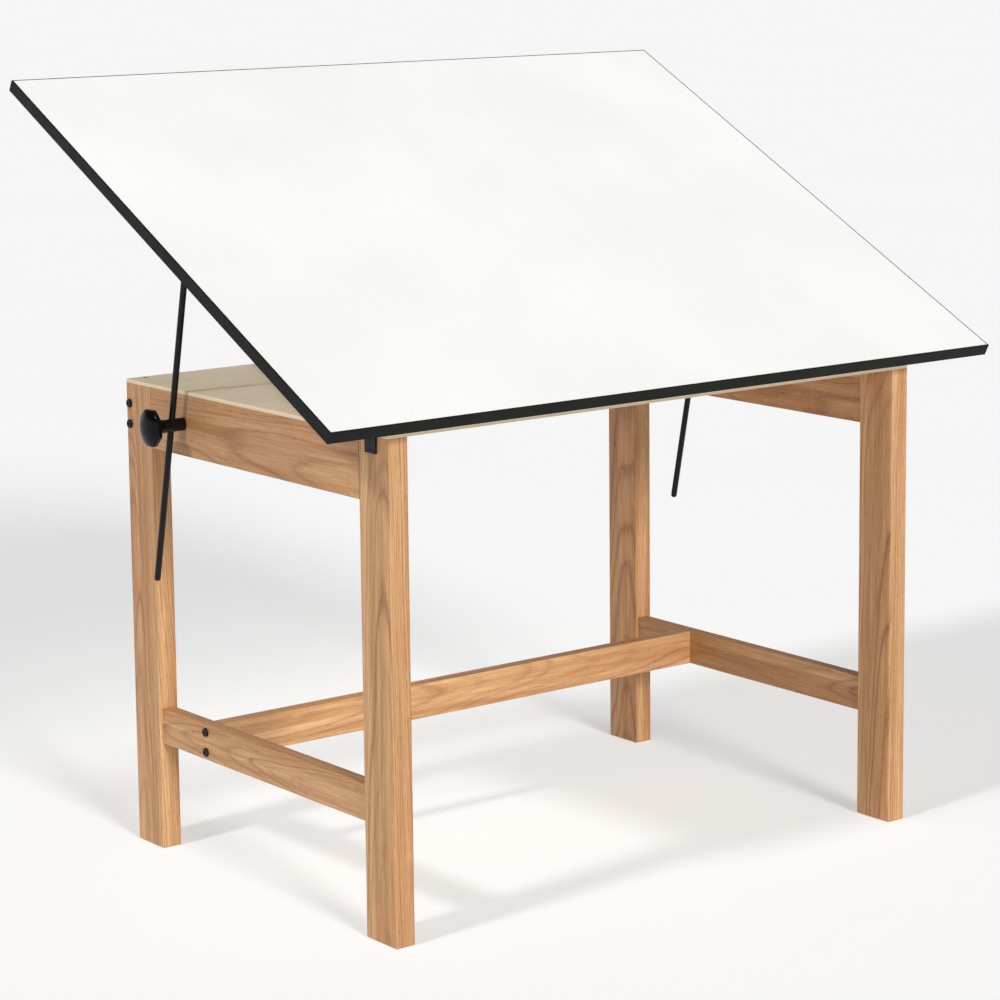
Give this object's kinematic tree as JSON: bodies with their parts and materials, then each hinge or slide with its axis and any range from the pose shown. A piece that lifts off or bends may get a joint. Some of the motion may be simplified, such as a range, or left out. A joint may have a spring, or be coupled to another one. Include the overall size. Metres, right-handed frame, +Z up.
{
  "type": "drafting table",
  "caption": "Wooden post drafting table with a tilting white board, black edge band, side support rods and clamp knobs.",
  "frame": {"origin": "on the floor, under the middle of the table's outline with the board at its stored tilt", "axes": "+X along the board's long edge to the user's right, +Y from the user to the back, +Z up"},
  "size_m": [1.2192, 0.8182, 1.158],
  "materials": {
    "oak": "satin clear lacquer on oak",
    "panel_ply": "satin grey-tan face with a pale edge",
    "board_core": "raw particle board",
    "white_laminate": "matte melamine",
    "backer_laminate": "matte backing sheet",
    "black_vinyl": "smooth vinyl",
    "knob_plastic": "gloss phenolic",
    "zinc_steel": "zinc plated",
    "black_fastener": "black oxide",
    "black_steel": "satin black paint"
  },
  "bodies": {
    "base": {"apron_barrel_nuts": "zinc_steel", "apron_bolts": "black_fastener", "back_apron": "oak", "clamp_spacer_left": "black_steel", "clamp_spacer_right": "black_steel", "frame_panel": "panel_ply", "hinge_strap_left": "black_steel", "hinge_strap_right": "black_steel", "hinge_strap_screws": "black_fastener", "leg_back_left": "oak", "leg_back_right": "oak", "leg_front_left": "oak", "leg_front_right": "oak", "long_stretcher": "oak", "panel_screws": "black_fastener", "pivot_nuts": "zinc_steel", "pivot_studs": "black_fastener", "pivot_washers": "zinc_steel", "side_apron_left": "oak", "side_apron_right": "oak", "side_stretcher_left": "oak", "side_stretcher_right": "oak", "stretcher_barrel_nuts": "zinc_steel", "stretcher_bolts": "black_fastener"},
    "tabletop": {"board_backer": "backer_laminate", "board_core": "board_core", "board_laminate": "white_laminate", "edge_band_back": "black_vinyl", "edge_band_front": "black_vinyl", "edge_band_left": "black_vinyl", "edge_band_right": "black_vinyl", "hinge_leaf_left": "black_steel", "hinge_leaf_right": "black_steel", "hinge_leaf_screws": "black_fastener", "rod_bracket_left": "black_steel", "rod_bracket_right": "black_steel", "rod_bracket_screws": "black_fastener", "rod_pin_clips": "zinc_steel", "rod_pins": "black_fastener"},
    "swivel_left": {"clamp_nut_left": "zinc_steel", "clamp_swivel_left": "black_steel", "clamp_washer_left": "zinc_steel"},
    "swivel_right": {"clamp_nut_right": "zinc_steel", "clamp_swivel_right": "black_steel", "clamp_washer_right": "zinc_steel"},
    "knob_left": {"knob_left": "knob_plastic", "knob_screw_left": "zinc_steel"},
    "knob_right": {"knob_right": "knob_plastic", "knob_screw_right": "zinc_steel"},
    "rod_left": {"support_rod_left": "black_steel"},
    "rod_right": {"support_rod_right": "black_steel"}
  },
  "joints": [
    {"name": "table_tilt", "type": "hinge", "parent": "base", "child": "tabletop", "pos_m": [0, -0.32293, 0.715], "axis": [1, 0, 0], "range_deg": [-27.6, 22.4]},
    {"name": "rod_pin_left", "type": "hinge", "parent": "tabletop", "child": "rod_left", "pos_m": [-0.504, 0.08967, 0.95711], "axis": [1, 0, 0], "range_deg": [-11.2, 13.8]},
    {"name": "clamp_swivel_left", "type": "hinge", "parent": "base", "child": "swivel_left", "pos_m": [-0.504, 0.15257, 0.6625], "axis": [1, 0, 0], "range_deg": [-13.8, 11.2]},
    {"name": "knob_turn_left", "type": "hinge", "parent": "swivel_left", "child": "knob_left", "pos_m": [-0.504, 0.15257, 0.6625], "axis": [-1, 0, 0], "range_deg": [0, 360]},
    {"name": "rod_pin_right", "type": "hinge", "parent": "tabletop", "child": "rod_right", "pos_m": [0.504, 0.08967, 0.95711], "axis": [1, 0, 0], "range_deg": [-11.2, 13.8]},
    {"name": "clamp_swivel_right", "type": "hinge", "parent": "base", "child": "swivel_right", "pos_m": [0.504, 0.15257, 0.6625], "axis": [1, 0, 0], "range_deg": [-13.8, 11.2]},
    {"name": "knob_turn_right", "type": "hinge", "parent": "swivel_right", "child": "knob_right", "pos_m": [0.504, 0.15257, 0.6625], "axis": [1, 0, 0], "range_deg": [0, 360]}
  ],
  "couplings": [
    {"joint": "rod_pin_left", "follows": "table_tilt", "ratio": -0.5},
    {"joint": "clamp_swivel_left", "follows": "table_tilt", "ratio": 0.5},
    {"joint": "rod_pin_right", "follows": "table_tilt", "ratio": -0.5},
    {"joint": "clamp_swivel_right", "follows": "table_tilt", "ratio": 0.5}
  ]
}
